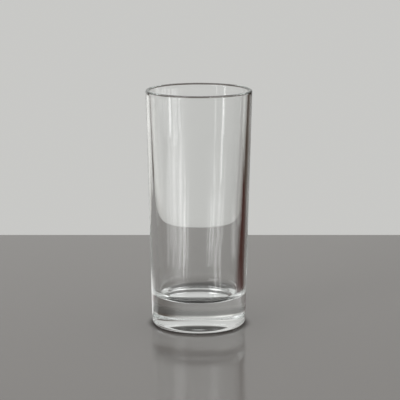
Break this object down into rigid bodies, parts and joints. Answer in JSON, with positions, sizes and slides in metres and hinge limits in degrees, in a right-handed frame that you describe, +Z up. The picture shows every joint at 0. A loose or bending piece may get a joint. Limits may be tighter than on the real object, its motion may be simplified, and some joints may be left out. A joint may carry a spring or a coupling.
{
  "type": "highball glass",
  "caption": "Tall clear highball glass with straight sides that widen a little to a rounded rim, and a heavy solid base with a shallow recess under it.",
  "frame": {"origin": "middle of the ring that the glass stands on, at table level", "axes": "+Z up along the axis of the glass, towards its mouth; it is round, so X and Y are alike"},
  "size_m": [0.065, 0.065, 0.146],
  "materials": {
    "glass": "polished"
  },
  "bodies": {
    "root": {"rim": "glass", "side_wall": "glass", "base": "glass"}
  },
  "joints": []
}
